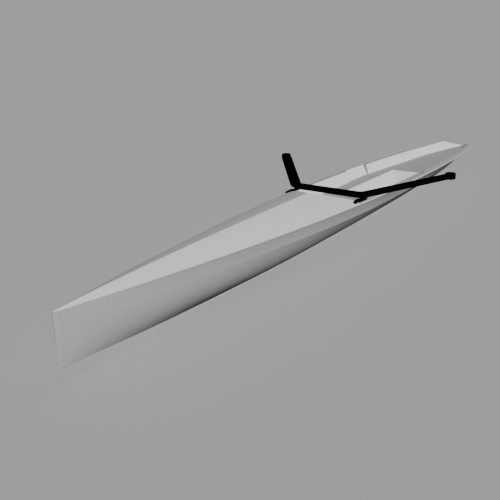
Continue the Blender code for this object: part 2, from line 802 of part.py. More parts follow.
def build_pad(name, centre, lean, group):
    """Mounting pad under a foot."""
    work = bmesh.new()
    bmesh.ops.create_cube(work, size=1.0)
    bmesh.ops.scale(work, vec=(PAD_LENGTH, PAD_WIDTH, PAD_THICKNESS), verts=work.verts)
    mesh = mesh_from(f"wing_pad_{name}", work)
    pad = finish(f"wing_pad_{name}", mesh, group, "fitting_black", smooth=False)
    pad.location = centre
    pad.rotation_euler.x = lean


def build_foot(name, side, group):
    """Foot from its pad, over the side deck, to the underside of the elbow."""
    rings = []
    for aft, inner, outer, clearance, top in FOOT_SHAPE:
        rings.append([
            place(aft, side * inner, height_under_foot(aft, inner) + clearance),
            place(aft, side * outer, height_under_foot(aft, outer) + clearance),
            place(aft, side * outer, top - 0.003),
            place(aft, side * inner, top),
        ])
    loft(f"wing_foot_{name}", rings, group, "wing_carbon")


def main():
    """Build every sub-part of the boat."""
    clear_scene()
    boat = new_collection("coastal_rowing_boat")
    build_stem(boat)
    build_forebody(boat)
    build_foredeck(boat)
    build_bulkheads(boat)
    build_lower_hull(boat)
    build_hull_beside_well(boat)
    build_tanks(boat)
    build_side_decks(boat)
    build_sheer_strips(boat)
    build_floor(boat)
    build_well(boat)
    build_stern_tip(boat)
    build_wing(boat)
    build_feet(boat)
    bpy.context.view_layer.update()


main()
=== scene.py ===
"""Looks of a coastal rowing boat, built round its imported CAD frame.

Metres. +X points to the bow, +Y to port, +Z up, and the origin is amidships
on the waterline. "aft" is the distance behind the stem.
"""
from __future__ import annotations

import logging
from collections.abc import Sequence
from dataclasses import dataclass
from enum import Enum
from math import atan2, copysign, cos, pi, radians, sin, tan

import bmesh
import bpy
import numpy as np
from mathutils import Matrix, Vector


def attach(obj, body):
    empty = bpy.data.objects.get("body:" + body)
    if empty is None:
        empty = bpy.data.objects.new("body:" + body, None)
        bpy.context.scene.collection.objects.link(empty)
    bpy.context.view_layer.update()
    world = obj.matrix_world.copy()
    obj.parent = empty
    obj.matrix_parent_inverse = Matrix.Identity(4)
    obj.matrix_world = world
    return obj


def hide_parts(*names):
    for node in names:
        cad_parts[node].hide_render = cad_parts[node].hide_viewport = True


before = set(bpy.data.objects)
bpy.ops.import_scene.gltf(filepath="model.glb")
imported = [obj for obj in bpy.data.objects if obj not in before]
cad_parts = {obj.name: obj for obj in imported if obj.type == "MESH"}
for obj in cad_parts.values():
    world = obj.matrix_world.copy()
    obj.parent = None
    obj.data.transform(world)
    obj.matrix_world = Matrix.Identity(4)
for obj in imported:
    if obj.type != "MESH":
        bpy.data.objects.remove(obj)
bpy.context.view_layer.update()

LOG = logging.getLogger("rowing_boat")
# Sizes that several pieces share. Starts, ends and corners are stations behind the stem.
LENGTH = 6.0
FLOOR_HEIGHT = 0.137
RECESS_START = 3.64
RECESS_END = 4.02
RECESS_FOOT = 0.012
EVEN_END = 5.60
NEAR_CORNER = 5.63
CORNER = 5.75
BEHIND_CORNER = 5.765
TIP_START = 5.86
HAIR = 0.001
# Patterns of the finishes.
STUDS_PER_METRE = 380.0
NOISE_LOW, NOISE_HIGH = 0.3, 0.7
SPECKS_PER_CLOUD = 23.0
# Angles in degrees above which an edge is rounded or stays sharp.
ROUNDED_ANGLE = 50.0
SHARP_ANGLE = 38.0
FACETED_ANGLE = 24.0
# Heights of a face's normal that tell decks and floors from sides, and so pick the darker copies
# of a gelcoat that paint shade on level faces.
LEVEL_NORMAL = 0.9
FLAT_NORMAL = 0.99
OVERHANG_NORMAL = 0.05

Point = tuple[float, float]
Row = list[Vector]
Tree = bpy.types.NodeTree
Socket = bpy.types.NodeSocket
Mesh = bmesh.types.BMesh
Vert = bmesh.types.BMVert
Edge = bmesh.types.BMEdge


class Side(Enum):
    """A side of the boat, with the sign of its Y."""

    PORT = 1.0
    STARBOARD = -1.0

    @property
    def label(self) -> str:
        """Lower-case name used in the names of pieces."""
        return self.name.lower()


def set_inputs(node: bpy.types.Node, values: dict[str, float | tuple[float, ...]]) -> None:
    """Set some of a node's inputs by name."""
    for name, value in values.items():
        node.inputs[name].default_value = value


@dataclass(frozen=True)
class Finish:
    """A surface finish made of procedural nodes in Object coordinates.

    Sizes of patterns are given as Blender noise scales, in cycles per metre.

    Attributes:
        name: Name of the material.
        slot: Material slot of the CAD that it matches; not used.
        light, dark: Tones of the surface's faint clouds.
        smooth, rough: Limits of its roughness.
        cloud_scale: Scale of the clouds.
        grain_scale: Scale of the fine relief.
        grain_height: Height of the relief in metres.
        grain_strength: How strongly the relief shows.
        specular: Level of the shader's reflections.
    """

    name: str
    slot: str
    light: tuple[float, float, float]
    dark: tuple[float, float, float]
    smooth: float
    rough: float
    cloud_scale: float = 1.6
    grain_scale: float = 700.0
    grain_height: float = 0.00002
    grain_strength: float = 0.06
    specular: float = 0.5

    def material(self) -> bpy.types.Material:
        """The finish's material, made once.

        Returns:
            The material, with colour, roughness and bump from its nodes.
        """
        found = bpy.data.materials.get(self.name)
        if found:
            return found
        made = bpy.data.materials.new(self.name)
        made.use_nodes = True
        tree = made.node_tree
        shader = tree.nodes["Principled BSDF"]
        coords = tree.nodes.new("ShaderNodeTexCoord").outputs["Object"]
        clouds = self.noise(tree, coords, self.cloud_scale, detail=5.0)
        specks = self.noise(tree, coords, self.cloud_scale * SPECKS_PER_CLOUD, detail=4.0)
        self.blend_colours(tree, clouds, shader.inputs["Base Color"])
        self.spread(tree, specks, shader.inputs["Roughness"])
        self.grain(tree, coords, shader.inputs["Normal"])
        set_inputs(shader, {"Specular IOR Level": self.specular})
        return made

    @staticmethod
    def noise(tree: Tree, coords: Socket, scale: float, detail: float) -> Socket:
        """A noise texture's value.

        Args:
            tree: Node tree that gets the texture.
            coords: Socket with the coordinates.
            scale: Cycles per metre.
            detail: Number of octaves.

        Returns:
            The texture's factor socket.
        """
        node = tree.nodes.new("ShaderNodeTexNoise")
        set_inputs(node, {"Scale": scale, "Detail": detail})
        tree.links.new(coords, node.inputs["Vector"])
        return node.outputs["Fac"]

    def blend_colours(self, tree: Tree, factor: Socket, target: Socket) -> None:
        """Mix the dark and the light tone by a factor.

        Args:
            tree: Node tree to work in.
            factor: Socket that picks the tone.
            target: Colour socket that takes the mix.
        """
        ramp = tree.nodes.new("ShaderNodeValToRGB")
        ends = ((NOISE_LOW, self.dark), (NOISE_HIGH, self.light))
        for stop, (position, tone) in zip(ramp.color_ramp.elements, ends):
            stop.position = position
            stop.color = (*tone, 1.0)
        tree.links.new(factor, ramp.inputs["Fac"])
        tree.links.new(ramp.outputs["Color"], target)

    def spread(self, tree: Tree, factor: Socket, target: Socket) -> None:
        """Vary the roughness between the finish's two limits.

        Args:
            tree: Node tree to work in.
            factor: Socket that picks the roughness.
            target: Roughness socket.
        """
        node = tree.nodes.new("ShaderNodeMapRange")
        set_inputs(node, {
            "From Min": NOISE_LOW, "From Max": NOISE_HIGH, "To Min": self.smooth,
            "To Max": self.rough})
        tree.links.new(factor, node.inputs["Value"])
        tree.links.new(node.outputs["Result"], target)

    def grain(self, tree: Tree, coords: Socket, target: Socket) -> None:
        """Fine relief of the surface.

        Args:
            tree: Node tree to work in.
            coords: Socket with the coordinates.
            target: Normal socket.
        """
        bump = tree.nodes.new("ShaderNodeBump")
        set_inputs(bump, {"Strength": self.grain_strength, "Distance": self.grain_height})
        tree.links.new(self.relief(tree, coords), bump.inputs["Height"])
        tree.links.new(bump.outputs["Normal"], target)

    def relief(self, tree: Tree, coords: Socket) -> Socket:
        """Height of the fine relief, orange peel by default."""
        return self.noise(tree, coords, self.grain_scale, detail=2.0)


@dataclass(frozen=True)
class NonSlip(Finish):
    """Gelcoat with a moulded non-slip texture of small rounded studs."""

    def relief(self, tree: Tree, coords: Socket) -> Socket:
        """Height of the rounded studs.

        Args:
            tree: Node tree to work in.
            coords: Socket with the coordinates.

        Returns:
            The height's socket.
        """
        node = tree.nodes.new("ShaderNodeTexVoronoi")
        node.feature = "SMOOTH_F1"
        set_inputs(node, {"Scale": self.grain_scale})
        tree.links.new(coords, node.inputs["Vector"])
        return node.outputs["Distance"]


@dataclass(frozen=True)
class Carbon(Finish):
    """Lacquered carbon cloth, whose twill shows faintly.

    Attributes:
        waviness: How far the tows wander.
    """

    waviness: float = 0.2

    def relief(self, tree: Tree, coords: Socket) -> Socket:
        """Height of the crossing tows.

        Args:
            tree: Node tree to work in.
            coords: Socket with the coordinates.

        Returns:
            The height's socket.
        """
        weave = tree.nodes.new("ShaderNodeMath")
        weave.operation = "MULTIPLY"
        for direction, height in zip("XY", weave.inputs):
            node = tree.nodes.new("ShaderNodeTexWave")
            node.bands_direction = direction
            set_inputs(node, {"Scale": self.grain_scale, "Distortion": self.waviness})
            tree.links.new(coords, node.inputs["Vector"])
            tree.links.new(node.outputs["Fac"], height)
        return weave.outputs["Value"]


# The hull's gelcoat is set darker than the deck's, as painted shade on the hull's sides and
# bottom.
HULL_GELCOAT_PAINTED_SHADE = Finish(
    "hull_gelcoat_painted_shade", "hull_gelcoat", (0.35, 0.35, 0.35), (0.335, 0.335, 0.339), 0.42, 0.52,
    specular=0.20)
DECK_GELCOAT = Finish(
    "deck_gelcoat_looks", "deck_gelcoat", (0.60, 0.60, 0.60), (0.58, 0.58, 0.585), 0.48, 0.58,
    specular=0.20)
# The floor's gelcoat is set darker than the deck's, as painted shade on level faces.
FLOOR_GELCOAT_PAINTED_SHADE = NonSlip(
    "floor_gelcoat_painted_shade", "floor_gelcoat", (0.325, 0.325, 0.325), (0.31, 0.31, 0.314), 0.60, 0.70,
    grain_scale=STUDS_PER_METRE, grain_height=0.0002, grain_strength=0.25, specular=0.15)
# The well's gelcoat is a lighter copy of the floor's, as painted light on the well's walls.
WELL_GELCOAT_PAINTED_LIGHT = NonSlip(
    "well_gelcoat_painted_light", "floor_gelcoat", (0.55, 0.55, 0.55), (0.53, 0.53, 0.535), 0.60, 0.70,
    grain_scale=STUDS_PER_METRE, grain_height=0.0002, grain_strength=0.15, specular=0.15)
# The side deck's gelcoat is a darker copy of the deck's, as painted shade on level faces; its
# studs are real relief.
SIDE_DECK_GELCOAT_PAINTED_SHADE = NonSlip(
    "side_deck_gelcoat_painted_shade", "deck_gelcoat", (0.375, 0.375, 0.375), (0.36, 0.36, 0.364),
    0.60, 0.70, grain_scale=STUDS_PER_METRE, grain_height=0.0002, grain_strength=0.2,
    specular=0.15)
STRIP_RUBBER = Finish(
    "strip_rubber_looks", "strip_rubber", (0.50, 0.50, 0.50), (0.48, 0.48, 0.48), 0.60, 0.70,
    grain_scale=1500.0, specular=0.15)
WING_CARBON = Carbon(
    "wing_carbon_looks", "wing_carbon", (0.0016, 0.0016, 0.0018), (0.0008, 0.0008, 0.0009),
    0.46, 0.54, grain_scale=210.0, grain_height=0.0001, grain_strength=0.15, specular=0.003)
FITTING_BLACK = Finish(
    "fitting_black_looks", "fitting_black", (0.0018, 0.0018, 0.0018), (0.0009, 0.0009, 0.0009),
    0.55, 0.65, grain_scale=1100.0, grain_height=0.00008, grain_strength=0.2, specular=0.003)
# A dark finish put in the recess's groove and step, as painted shade.
SEAM_PAINTED_SHADE = Finish(
    "seam_painted_shade", "deck_gelcoat", (0.16, 0.16, 0.16), (0.13, 0.13, 0.13), 0.65, 0.75,
    grain_scale=900.0, specular=0.1)


@dataclass(frozen=True)
class Table:
    """Measures along the boat, faired through a few rows.

    The first column of every row is the distance aft of the stem.

    Attributes:
        names: Names of the other columns.
        rows: The rows, from forward to aft.
    """

    names: tuple[str, ...]
    rows: tuple[tuple[float, ...], ...]

    def at(self, aft: float) -> dict[str, float]:
        """Every measure at one station.

        Args:
            aft: Distance behind the stem.

        Returns:
            The measures by name.
        """
        rows = np.array(self.rows)
        where = rows[:, 0]
        gaps = np.diff(where)
        row = int(np.clip(np.searchsorted(where, aft) - 1, 0, len(gaps) - 1))
        t = (aft - where[row]) / gaps[row]
        found = {}
        for index, name in enumerate(self.names, start=1):
            column = rows[:, index]
            tangents = self.tangents(column, gaps)
            found[name] = float(
                column[row] * (1 + 2 * t) * (1 - t) ** 2
                + column[row + 1] * t * t * (3 - 2 * t)
                + gaps[row] * tangents[row] * t * (1 - t) ** 2
                - gaps[row] * tangents[row + 1] * t * t * (1 - t)
            )
        return found

    @staticmethod
    def tangents(column: np.ndarray, gaps: np.ndarray) -> np.ndarray:
        """Slopes that never overshoot the rows.

        Args:
            column: Values of one measure.
            gaps: Distances between the rows.

        Returns:
            One slope for each row.
        """
        slopes = np.diff(column) / gaps
        found = np.empty(len(column))
        found[0] = slopes[0]
        found[-1] = slopes[-1]
        same_way = slopes[:-1] * slopes[1:] > 0.0
        total = np.where(same_way, slopes[:-1] + slopes[1:], 1.0)
        found[1:-1] = np.where(same_way, 2.0 * slopes[:-1] * slopes[1:] / total, 0.0)
        return found


# Half beam, heights of sheer and centreline of the deck, the knuckle, the lean of the
# bottom below it and its rise at the keel in degrees, and the height of the keel.
HULL = Table(
    ("beam", "sheer", "ridge", "knuckle_y", "knuckle_z", "side", "rise", "keel"),
    (
        (0.00, 0.0060, 0.248, 0.248, 0.0055, 0.150, 2.0, 76.0, -0.075),
        (0.04, 0.0135, 0.248, 0.252, 0.0120, 0.150, 2.0, 75.0, -0.078),
        (0.25, 0.0510, 0.247, 0.266, 0.0470, 0.147, 3.0, 66.0, -0.089),
        (0.60, 0.1120, 0.245, 0.283, 0.1000, 0.143, 6.0, 52.0, -0.108),
        (1.10, 0.1860, 0.241, 0.300, 0.1660, 0.139, 11.0, 40.0, -0.125),
        (1.60, 0.2500, 0.238, 0.312, 0.2260, 0.138, 19.0, 29.0, -0.134),
        (2.00, 0.2910, 0.236, 0.319, 0.2630, 0.134, 27.0, 21.0, -0.125),
        (2.43, 0.3260, 0.234, 0.325, 0.2930, 0.130, 34.0, 16.0, -0.105),
        (3.00, 0.3560, 0.230, 0.332, 0.3140, 0.127, 40.0, 13.0, -0.080),
        (3.60, 0.3630, 0.226, 0.335, 0.3060, 0.124, 45.0, 11.0, -0.063),
        (4.20, 0.3540, 0.221, 0.335, 0.2740, 0.122, 48.0, 10.0, -0.052),
        (4.80, 0.3190, 0.216, 0.335, 0.2240, 0.118, 51.0, 9.0, -0.044),
        (5.30, 0.2680, 0.213, 0.335, 0.1600, 0.117, 55.0, 8.0, -0.029),
        (5.60, 0.2280, 0.212, 0.335, 0.1150, 0.119, 58.0, 8.0, 0.000),
        (5.75, 0.2030, 0.211, 0.335, 0.0850, 0.121, 60.0, 8.0, 0.030),
        (5.765, 0.1910, 0.207, 0.335, 0.0800, 0.121, 60.3, 8.0, 0.034),
        (5.86, 0.1160, 0.178, 0.335, 0.0500, 0.124, 62.0, 8.0, 0.058),
        (5.95, 0.0450, 0.152, 0.335, 0.0200, 0.127, 64.0, 8.0, 0.085),
        (6.00, 0.0060, 0.139, 0.335, 0.0030, 0.129, 65.0, 8.0, 0.105),
    ),
)
# Half width of the floor, width of a side deck and how far its inner edge stands up.
COCKPIT = Table(
    ("floor", "deck", "tilt"),
    (
        (2.66, 0.235, 0.065, 0.010),
        (3.00, 0.246, 0.065, 0.009),
        (3.36, 0.252, 0.065, 0.008),
        (3.64, 0.260, 0.065, 0.007),
        (4.02, 0.260, 0.065, 0.005),
        (4.30, 0.240, 0.065, 0.004),
        (4.65, 0.205, 0.065, 0.003),
        (5.20, 0.155, 0.065, 0.002),
        (5.60, 0.090, 0.062, 0.001),
        (5.75, 0.058, 0.053, 0.001),
        (5.86, 0.030, 0.030, 0.000),
        (5.95, 0.012, 0.010, 0.000),
        (6.00, 0.003, 0.001, 0.000),
    ),
)
# Inner and outer side of a wing's foot, its clearance over the deck and its top.
FOOT = Table(
    ("inner", "outer", "clearance", "top"),
    (
        (2.605, 0.303, 0.324, 0.0055, 0.2550),
        (2.655, 0.293, 0.326, 0.0055, 0.2600),
        (2.680, 0.289, 0.327, 0.0006, 0.2610),
        (2.700, 0.286, 0.328, 0.0006, 0.2620),
        (2.722, 0.285, 0.329, 0.0006, 0.2547),
        (2.800, 0.285, 0.331, 0.0006, 0.2547),
    ),
)


def place(aft: float, y: float, z: float) -> Vector:
    """A point of the boat, from its distance aft of the stem."""
    return Vector((LENGTH / 2 - aft, y, z))


def steps(start: float, end: float, spacing: float) -> list[float]:
    """Evenly spaced values, both ends included.

    Args:
        start: First value.
        end: Last value.
        spacing: Largest distance between two values.

    Returns:
        The values.
    """
    count = max(1, int(np.ceil(abs(end - start) / spacing - 1e-9)))
    return [start + (end - start) * i / count for i in range(count + 1)]


def stations_to_corner(start: float) -> list[float]:
    """Stations from a start to the stern's corner, closer together near it."""
    return steps(start, EVEN_END, spacing=0.07) + steps(NEAR_CORNER, CORNER, spacing=0.04)


def stations_behind_corner() -> list[float]:
    """Stations from just behind the stern's corner to the tip."""
    return steps(BEHIND_CORNER, TIP_START, spacing=0.025)


def both_sides(half: Sequence[Point]) -> list[Point]:
    """A chain across the boat from its port half, which ends on the centreline."""
    return list(half) + [(-y, z) for y, z in reversed(half[:-1])]


def turns(count: int) -> list[float]:
    """Angles of the corners round a section."""
    return [2 * pi * i / count for i in range(count)]


def rounded(start: Vector, corner: Vector, end: Vector, t: float) -> Vector:
    """A point of the curve that rounds a corner, a share t of the way along."""
    return (1 - t) ** 2 * start + 2 * (1 - t) * t * corner + t * t * end


def height_span(edge: Edge) -> float:
    """Difference in height between an edge's ends."""
    return abs(edge.verts[0].co.z - edge.verts[1].co.z)


def round_edges(work: Mesh, edges: list[Edge], radius: float, segments: int) -> None:
    """Round some edges of a mesh.

    Args:
        work: The mesh.
        edges: The edges.
        radius: Width of the rounding.
        segments: Number of facets across it.
    """
    bmesh.ops.bevel(
        work, geom=edges, offset=radius, segments=segments, profile=0.5, affect="EDGES",
        material=-1)


@dataclass
class Loft:
    """A skin that is extruded from row to row along the boat.

    Attributes:
        name: Name of the finished piece.
        finish: What covers it.
        closed: Whether each row is a ring.
    """

    name: str
    finish: Finish
    closed: bool = False

    def __post_init__(self) -> None:
        """Start an empty mesh."""
        self.work = bmesh.new()
        self.rows: list[list[Vert]] = []

    def add(self, points: Sequence[Vector]) -> None:
        """Extrude the skin to its next row.

        Args:
            points: Points of the row.
        """
        if self.rows:
            grown = bmesh.ops.extrude_edge_only(self.work, edges=self.last_edges)["geom"]
            fresh = {item for item in grown if isinstance(item, Vert)}
            verts = [self.partner(old, fresh) for old in self.rows[-1]]
            for vert, point in zip(verts, points):
                vert.co = point
            self.last_edges = [
                item for item in grown
                if isinstance(item, Edge) and fresh.issuperset(item.verts)]
        else:
            verts = [self.work.verts.new(point) for point in points]
            ends = zip(verts, verts[1:] + verts[:1] if self.closed else verts[1:])
            self.last_edges = [self.work.edges.new(pair) for pair in ends]
        self.rows.append(verts)

    @staticmethod
    def partner(old: Vert, fresh: set[Vert]) -> Vert:
        """The freshly extruded point that grew out of an old one."""
        ends = (edge.other_vert(old) for edge in old.link_edges)
        return next(end for end in ends if end in fresh)

    def crease_along(self, column: int, first: int = 0) -> None:
        """Keep a line along the piece sharp.

        Args:
            column: Index of the line in each row.
            first: First row of the crease.
        """
        rows = self.rows[first:]
        for near, far in zip(rows, rows[1:]):
            edge = self.work.edges.get((near[column], far[column]))
            if edge:
                edge.smooth = False

    def crease_across(self, row: int) -> None:
        """Keep one whole row sharp.

        Args:
            row: Index of the row.
        """
        verts = self.rows[row]
        for pair in zip(verts, verts[1:]):
            self.work.edges.get(pair).smooth = False

    def cap(self) -> None:
        """Close both ends of a piece whose rows are rings."""
        for verts in (self.rows[0], self.rows[-1]):
            self.work.faces.new(verts)

    def finish_piece(self, outward: Vector | None = None,
                     crease: float = SHARP_ANGLE) -> bpy.types.Object:
        """Make the object, dressed and riding on the boat.

        Args:
            outward: Rough outward direction of an open skin, or None for a
                closed piece.
            crease: Angle in degrees above which an edge stays sharp.

        Returns:
            The new object.
        """
        if outward is None:
            bmesh.ops.recalc_face_normals(self.work, faces=self.work.faces)
        else:
            face_outward(self.work, outward)
        return dress(self.name, self.work, self.finish, crease)


def face_outward(work: Mesh, outward: Vector) -> None:
    """Turn an open skin so that its faces mostly look one way.

    Args:
        work: The skin.
        outward: The direction they should look.
    """
    bmesh.ops.recalc_face_normals(work, faces=work.faces)
    facing = sum(face.normal.dot(outward) * face.calc_area() for face in work.faces)
    if facing < 0.0:
        bmesh.ops.reverse_faces(work, faces=work.faces)


def add_object(name: str, work: Mesh, material: bpy.types.Material) -> bpy.types.Object:
    """Turn a worked mesh into an object of the scene.

    Args:
        name: Name of the object and of its mesh.
        work: The mesh, which is freed.
        material: What covers it.

    Returns:
        The new object.
    """
    mesh = bpy.data.meshes.new(name)
    work.to_mesh(mesh)
    work.free()
    mesh.materials.append(material)
    made = bpy.data.objects.new(name, mesh)
    bpy.context.scene.collection.objects.link(made)
    return made


def dress(name: str, work: Mesh, finish: Finish,
          crease: float = SHARP_ANGLE) -> bpy.types.Object:
    """Turn a worked mesh into a smooth-shaded piece that rides on the boat.

    Args:
        name: Name of the piece.
        work: The mesh, which is freed.
        finish: What covers it.
        crease: Angle in degrees above which an edge stays sharp.

    Returns:
        The new object.
    """
    work.normal_update()
    for face in work.faces:
        face.smooth = True
    for edge in work.edges:
        if edge.is_boundary or edge.calc_face_angle(0.0) > radians(crease):
            edge.smooth = False
    made = add_object(name, work, finish.material())
    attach(made, "root")
    LOG.info("%s: %d faces", name, len(made.data.polygons))
    return made


def thicken(piece: bpy.types.Object, thickness: float, rounding: float = 0.0) -> None:
    """Give a skin its laminate thickness behind its face.

    Args:
        piece: The skin.
        thickness: Thickness in metres.
        rounding: Radius put on its sharp edges, or nought.
    """
    shell = piece.modifiers.new("laminate", "SOLIDIFY")
    shell.thickness = thickness
    shell.offset = -1.0
    if rounding:
        bevel = piece.modifiers.new("rounding", "BEVEL")
        bevel.width = rounding
        bevel.segments = 3
        bevel.limit_method = "ANGLE"
        bevel.angle_limit = radians(ROUNDED_ANGLE)
        bevel.harden_normals = False


@dataclass
class Lines:
    """The boat's lines, which every moulding is laid on.

    Attributes:
        flare_start: Share of the topside's flare that is straight.
        camber: Share of the foredeck's fall that is straight.
        topside_points, bilge_points, deck_points: Points of each part of a row.
        stem_length: Length over which the stem is rounded.
        stem_nose: Share of the breadth that is left at the leading edge.
        stem_power: Exponent of the stem's rounding.
        leave, arrive: Reach of the bottom's curve from knuckle and keel.
        deck_edge: Foredeck's aft edge, as pairs of y and aft.
    """

    flare_start: float = 0.7
    camber: float = 0.8
    topside_points: int = 8
    bilge_points: int = 16
    deck_points: int = 12
    stem_length: float = 0.034
    stem_nose: float = 0.35
    stem_power: float = 0.6
    leave: float = 0.55
    arrive: float = 0.6
    deck_edge: tuple[Point, ...] = (
        (0.0, 2.43), (0.13, 2.545), (0.25, 2.645), (0.272, 2.66), (0.36, 2.66))

    def half_width(self, hull: dict[str, float], z: float) -> float:
        """Half beam of the flared topside.

        Args:
            hull: Measures of the hull at a station.
            z: Height, above the knuckle.

        Returns:
            The distance from the centreline.
        """
        share = (z - hull["knuckle_z"]) / (hull["sheer"] - hull["knuckle_z"])
        out = self.flare_start * share + (1 - self.flare_start) * share * share
        return hull["knuckle_y"] + (hull["beam"] - hull["knuckle_y"]) * out

    def nose(self, aft: float) -> float:
        """How far the stem's rounded nose narrows the sections.

        Args:
            aft: Distance behind the stem.

        Returns:
            A factor for the half breadth.
        """
        if aft >= self.stem_length:
            return 1.0
        share = aft / self.stem_length
        return self.stem_nose + (1 - self.stem_nose) * share ** self.stem_power

    def section(self, aft: float) -> list[Point]:
        """Port half of the hull's section, from sheer to keel.

        Args:
            aft: Distance behind the stem.

        Returns:
            Points of (y, z), the last one on the centreline.
        """
        hull = HULL.at(max(aft, 0.0))
        if aft < self.stem_length:
            hull = {**HULL.at(self.stem_length), "sheer": hull["sheer"], "keel": hull["keel"]}
        low, high = hull["knuckle_z"], hull["sheer"]
        shares = [i / self.topside_points for i in range(self.topside_points)]
        heights = [high + (low - high) * share for share in shares]
        points = [(self.half_width(hull, z), z) for z in heights]
        points += self.bilge(hull)
        return [(y * self.nose(aft), z) for y, z in points]

    def bilge(self, hull: dict[str, float]) -> list[Point]:
        """Rounded bottom from the knuckle to the keel, as one Bezier curve.

        Args:
            hull: Measures of the hull at a station.

        Returns:
            Points of (y, z).
        """
        side, rise = radians(hull["side"]), radians(hull["rise"])
        depth = hull["knuckle_z"] - hull["keel"]
        start = Vector((hull["knuckle_y"], hull["knuckle_z"]))
        end = Vector((0.0, hull["keel"]))
        leave = start - self.leave * depth * Vector((sin(side), cos(side)))
        arrive = end + self.arrive * hull["knuckle_y"] * Vector((cos(rise), sin(rise)))
        points = []
        for i in range(self.bilge_points + 1):
            t = i / self.bilge_points
            point = (1 - t) ** 3 * start + 3 * (1 - t) ** 2 * t * leave
            point += 3 * (1 - t) * t * t * arrive + t ** 3 * end
            points.append((point.x, point.y))
        return points

    def deck_height(self, aft: float, share: float) -> float:
        """Height of the foredeck.

        Args:
            aft: Distance behind the stem.
            share: Share of the half beam.

        Returns:
            The height.
        """
        hull = HULL.at(aft)
        fall = self.camber * share + (1 - self.camber) * share * share
        return hull["ridge"] - (hull["ridge"] - hull["sheer"]) * fall

    def height_under_foot(self, aft: float, y: float) -> float:
        """Height of whichever deck lies under a foot of the wing.

        Args:
            aft: Distance behind the stem.
            y: Distance from the centreline.

        Returns:
            The height.
        """
        hull = HULL.at(aft)
        if aft < self.deck_edge[-1][1]:
            return self.deck_height(aft, y / hull["beam"])
        room = COCKPIT.at(aft)
        return hull["sheer"] + room["tilt"] * (hull["beam"] - y) / room["deck"]

    def edge_of_deck(self, y: float) -> float:
        """How far aft the foredeck reaches at a distance from the centreline."""
        across, aft = zip(*self.deck_edge)
        return float(np.interp(abs(y), across, aft))


@dataclass
class HullShell:
    """Hull laminate from stem to stern, with its knuckle and its keel line.

    Attributes:
        lines: The boat's lines.
        skin: Laminate thickness.
        knuckle_start: Where the knuckle begins to show as a crease.
        deck_seat: How far the skin stays below the deck's edge.
        stem_rows: Closely spaced stations of the rounded stem.
        even_start: First of the evenly spaced stations.
    """

    lines: Lines
    skin: float = 0.003
    knuckle_start: float = 0.35
    deck_seat: float = 0.004
    stem_rows: tuple[float, ...] = (0.0, 0.003, 0.008, 0.016, 0.024, 0.034)
    even_start: float = 0.06

    def build(self) -> None:
        """Hang the hull's skin and thicken it inwards."""
        stations = list(self.stem_rows) + stations_to_corner(self.even_start)
        stations += stations_behind_corner()
        loft = Loft("hull_shell", HULL_GELCOAT_PAINTED_SHADE)
        for aft in stations:
            half = self.lines.section(aft)
            half[0] = (half[0][0], half[0][1] - self.deck_seat)
            loft.add([place(aft, y, z) for y, z in both_sides(half)])
        count = len(loft.rows[0])
        first = next(i for i, aft in enumerate(stations) if aft > self.knuckle_start)
        for column in (self.lines.topside_points, count - 1 - self.lines.topside_points):
            loft.crease_along(column, first)
        close_stem(loft)
        shell = loft.finish_piece(Vector((0.0, 0.0, -1.0)))
        thicken(shell, self.skin)
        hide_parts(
            "stem", "hull_forebody", "hull_under_seat", "hull_afterbody",
            "hull_beside_well_port", "hull_beside_well_starboard", "hull_keel_under_well")


def close_stem(loft: Loft) -> None:
    """Close the narrow leading face of the stem between its two edges.

    Args:
        loft: The hull's skin, whose first row is the leading edge.
    """
    verts = loft.rows[0]
    middle = len(verts) // 2
    for i in range(middle - 1):
        j = len(verts) - 1 - i
        loft.work.faces.new((verts[i], verts[i + 1], verts[j - 1], verts[j]))
    loft.work.faces.new((verts[middle - 1], verts[middle], verts[middle + 1]))


@dataclass
class SternTip:
    """Pointed stern, whose top falls from the sides to the open cockpit's end.

    Attributes:
        lines: The boat's lines.
        foot: Share of the half beam where the floor meets the side.
        wall: Share of the half beam of the side deck's inner edge.
    """

    lines: Lines
    foot: float = 0.26
    wall: float = 0.74

    def build(self) -> None:
        """Loft the tip, give its outside the hull's darker finish and paint shade on its level top
        with darker copies of the gelcoats.
        """
        loft = Loft("stern_tip_moulded", DECK_GELCOAT, closed=True)
        for aft in steps(TIP_START, LENGTH, spacing=0.02):
            beam, sheer = HULL.at(aft)["beam"], HULL.at(aft)["sheer"]
            low = min(FLOOR_HEIGHT, sheer - HAIR)
            middle = (beam * (self.foot + self.wall) / 2, (low + sheer) / 2)
            half = [(beam * self.foot, low), middle, (beam * self.wall, sheer)]
            half += self.lines.section(aft)
            loft.add([place(aft, y, z) for y, z in both_sides(half)])
        loft.cap()
        tip = loft.finish_piece(crease=FACETED_ANGLE)
        # Level faces take the floor's and the side deck's darker copies as painted shade; faces
        # that look down take the hull's darker gelcoat, also painted shade.
        for finish in (HULL_GELCOAT_PAINTED_SHADE, FLOOR_GELCOAT_PAINTED_SHADE, SIDE_DECK_GELCOAT_PAINTED_SHADE):
            tip.data.materials.append(finish.material())
        for face in tip.data.polygons:
            if face.normal.z > FLAT_NORMAL and face.center.z < FLOOR_HEIGHT + HAIR:
                face.material_index = 2
            elif face.normal.z > LEVEL_NORMAL:
                face.material_index = 3
            else:
                face.material_index = int(face.normal.z < OVERHANG_NORMAL)
        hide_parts("stern_tip")


